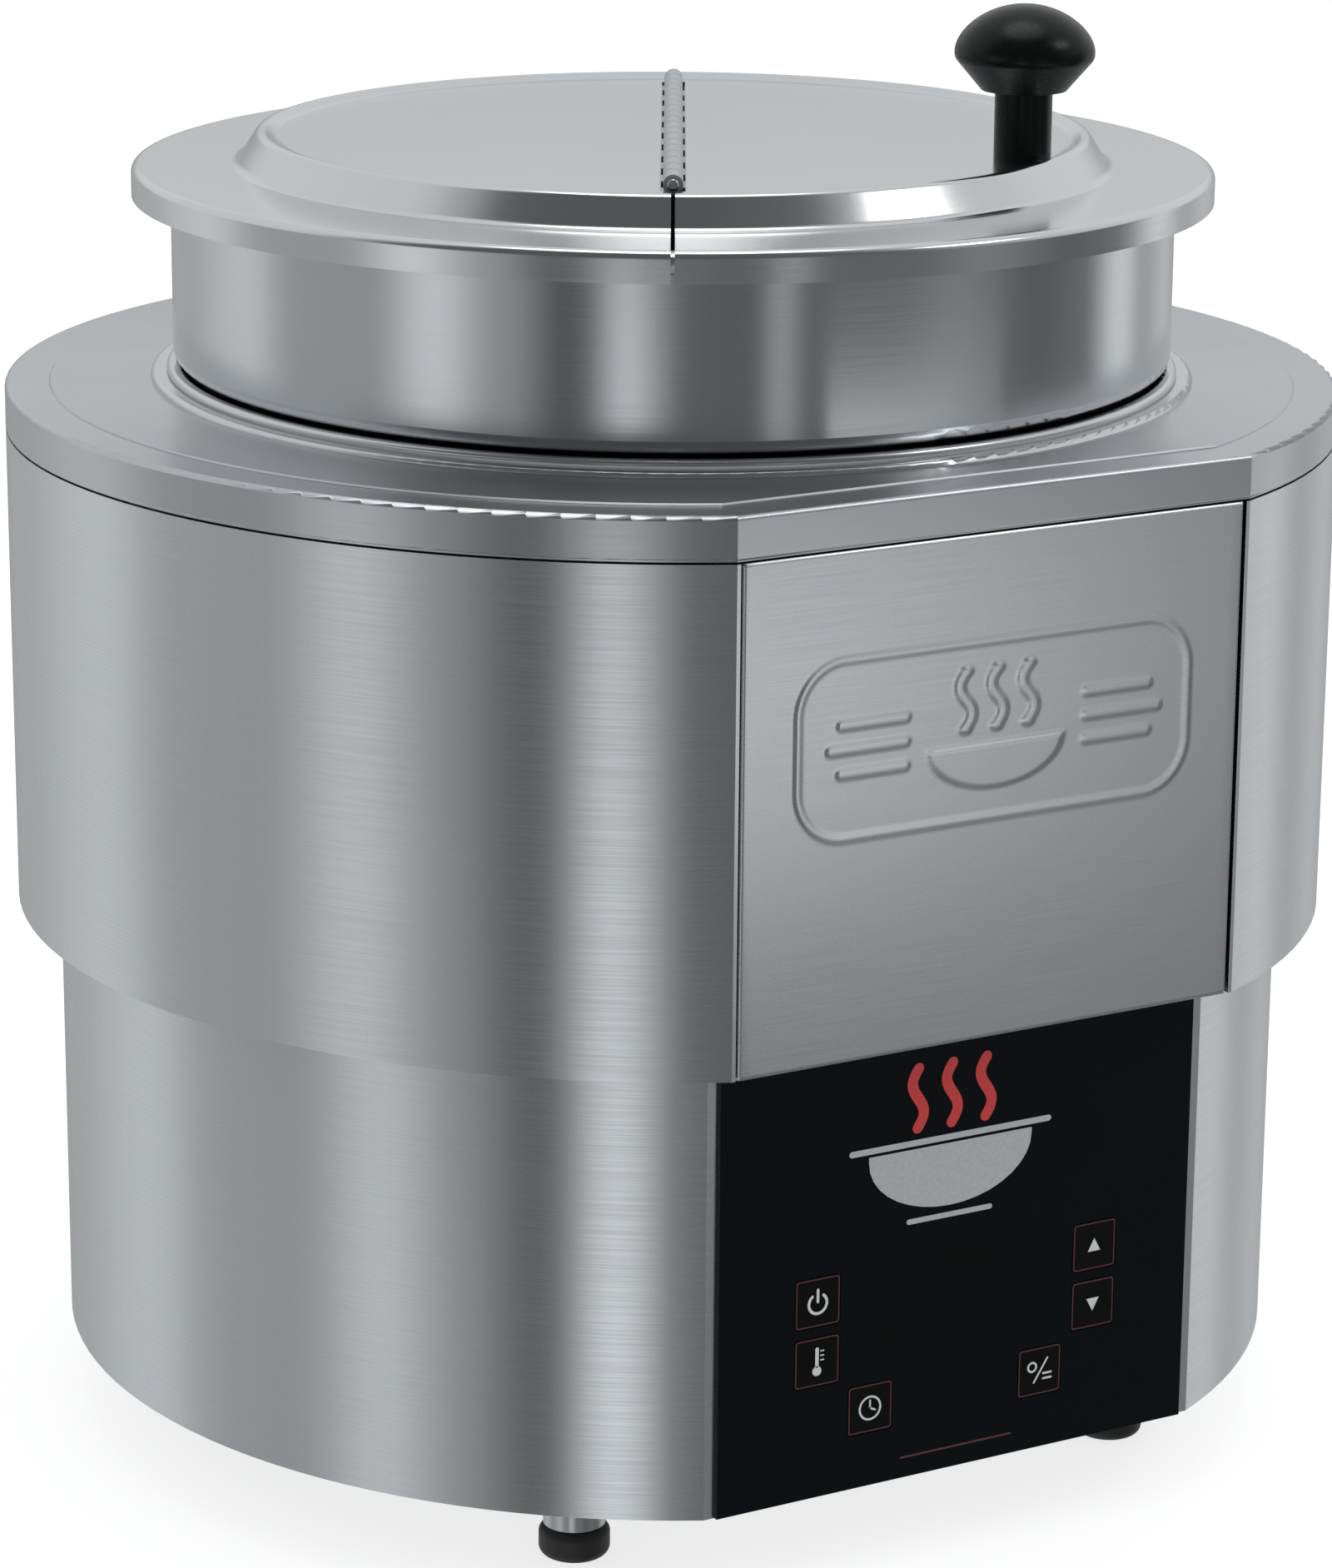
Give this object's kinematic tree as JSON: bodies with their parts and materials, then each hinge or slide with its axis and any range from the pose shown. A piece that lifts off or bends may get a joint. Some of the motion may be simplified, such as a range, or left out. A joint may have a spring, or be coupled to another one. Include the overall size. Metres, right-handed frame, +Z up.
{
  "type": "round heated well",
  "caption": "Countertop round heated well with a flat front, a lift-out inset pan, a split hinged lid with a knob, and a touch control panel with pressing keys.",
  "frame": {"origin": "middle of the object's box, on the floor under the feet", "axes": "+Z up, the flat front faces -Y, and +X is to the right as seen from the front"},
  "size_m": [0.35, 0.3348, 0.384],
  "materials": {
    "aluminium_sheet": "mill",
    "black_knob": "semi-gloss moulding",
    "black_overlay": "gloss film",
    "black_rubber": "matt",
    "brass": "turned",
    "bright_steel": "bright",
    "brushed_steel": "vertical reflections over a fine horizontal grain",
    "circuit_board": "solder mask",
    "dark_moulding": "moulded",
    "display_tint": "dark tinted window",
    "galvanised_sheet": "spangled",
    "glass_wool": "fibrous",
    "grey_silicone": "matt",
    "key_face": "gloss film with printed sign",
    "lid_steel": "semi-bright spun finish",
    "mica_heater": "matt",
    "pan_steel": "semi-bright spun finish",
    "polished_steel": "bright polish",
    "satin_steel": "satin",
    "white_moulding": "moulded"
  },
  "bodies": {
    "housing": {"band_clamp": "bright_steel", "band_heater": "mica_heater", "base_plate": "galvanised_sheet", "base_screws": "bright_steel", "board_screws": "bright_steel", "board_standoffs": "brass", "control_board": "circuit_board", "control_overlay": "black_overlay", "cord_gland": "dark_moulding", "display_module": "dark_moulding", "display_window": "display_tint", "floor_heater": "mica_heater", "foot_collars": "satin_steel", "foot_studs": "bright_steel", "foot_tips": "black_rubber", "front_panel": "brushed_steel", "gland_locknut": "dark_moulding", "heat_shield": "aluminium_sheet", "heated_well": "polished_steel", "high_limit_thermostat": "dark_moulding", "insulation_blanket": "glass_wool", "insulation_pad": "glass_wool", "key_switches": "dark_moulding", "lower_wrapper": "brushed_steel", "power_relay": "dark_moulding", "retaining_plate": "galvanised_sheet", "retaining_studs": "bright_steel", "seam_rivets": "bright_steel", "shield_posts": "bright_steel", "step_ring": "brushed_steel", "temperature_probe": "bright_steel", "terminal_block": "white_moulding", "top_cover": "brushed_steel", "upper_wrapper": "brushed_steel", "well_collar": "polished_steel", "well_gasket": "grey_silicone"},
    "pan": {"inset_pan": "pan_steel"},
    "lid": {"lid_fixed_half": "lid_steel", "hinge_leaf_fixed": "satin_steel", "hinge_pin": "bright_steel"},
    "flap": {"lid_flap": "lid_steel", "hinge_leaf_flap": "satin_steel", "lid_knob": "black_knob", "knob_insert": "brass", "knob_washer": "bright_steel", "knob_screw": "bright_steel"},
    "key_power": {"key_power": "key_face"},
    "key_temperature": {"key_temperature": "key_face"},
    "key_timer": {"key_timer": "key_face"},
    "key_mode": {"key_mode": "key_face"},
    "key_up": {"key_up": "key_face"},
    "key_down": {"key_down": "key_face"}
  },
  "joints": [
    {"name": "pan_lift", "type": "slide", "parent": "housing", "child": "pan", "axis": [0, 0, 1], "range_m": [0, 0.18]},
    {"name": "lid_lift", "type": "slide", "parent": "pan", "child": "lid", "axis": [0, 0, 1], "range_m": [0, 0.06]},
    {"name": "flap_hinge", "type": "hinge", "parent": "lid", "child": "flap", "pos_m": [0, -0.0076, 0.3464], "axis": [-0.497, -0.8678, 0], "range_deg": [0, 150]},
    {"name": "key_power_press", "type": "slide", "parent": "housing", "child": "key_power", "axis": [0, 1, 0], "range_m": [0, 0.0004], "stiffness_N_per_m": 800},
    {"name": "key_temperature_press", "type": "slide", "parent": "housing", "child": "key_temperature", "axis": [0, 1, 0], "range_m": [0, 0.0004], "stiffness_N_per_m": 800},
    {"name": "key_timer_press", "type": "slide", "parent": "housing", "child": "key_timer", "axis": [0, 1, 0], "range_m": [0, 0.0004], "stiffness_N_per_m": 800},
    {"name": "key_mode_press", "type": "slide", "parent": "housing", "child": "key_mode", "axis": [0, 1, 0], "range_m": [0, 0.0004], "stiffness_N_per_m": 800},
    {"name": "key_up_press", "type": "slide", "parent": "housing", "child": "key_up", "axis": [0, 1, 0], "range_m": [0, 0.0004], "stiffness_N_per_m": 800},
    {"name": "key_down_press", "type": "slide", "parent": "housing", "child": "key_down", "axis": [0, 1, 0], "range_m": [0, 0.0004], "stiffness_N_per_m": 800}
  ]
}
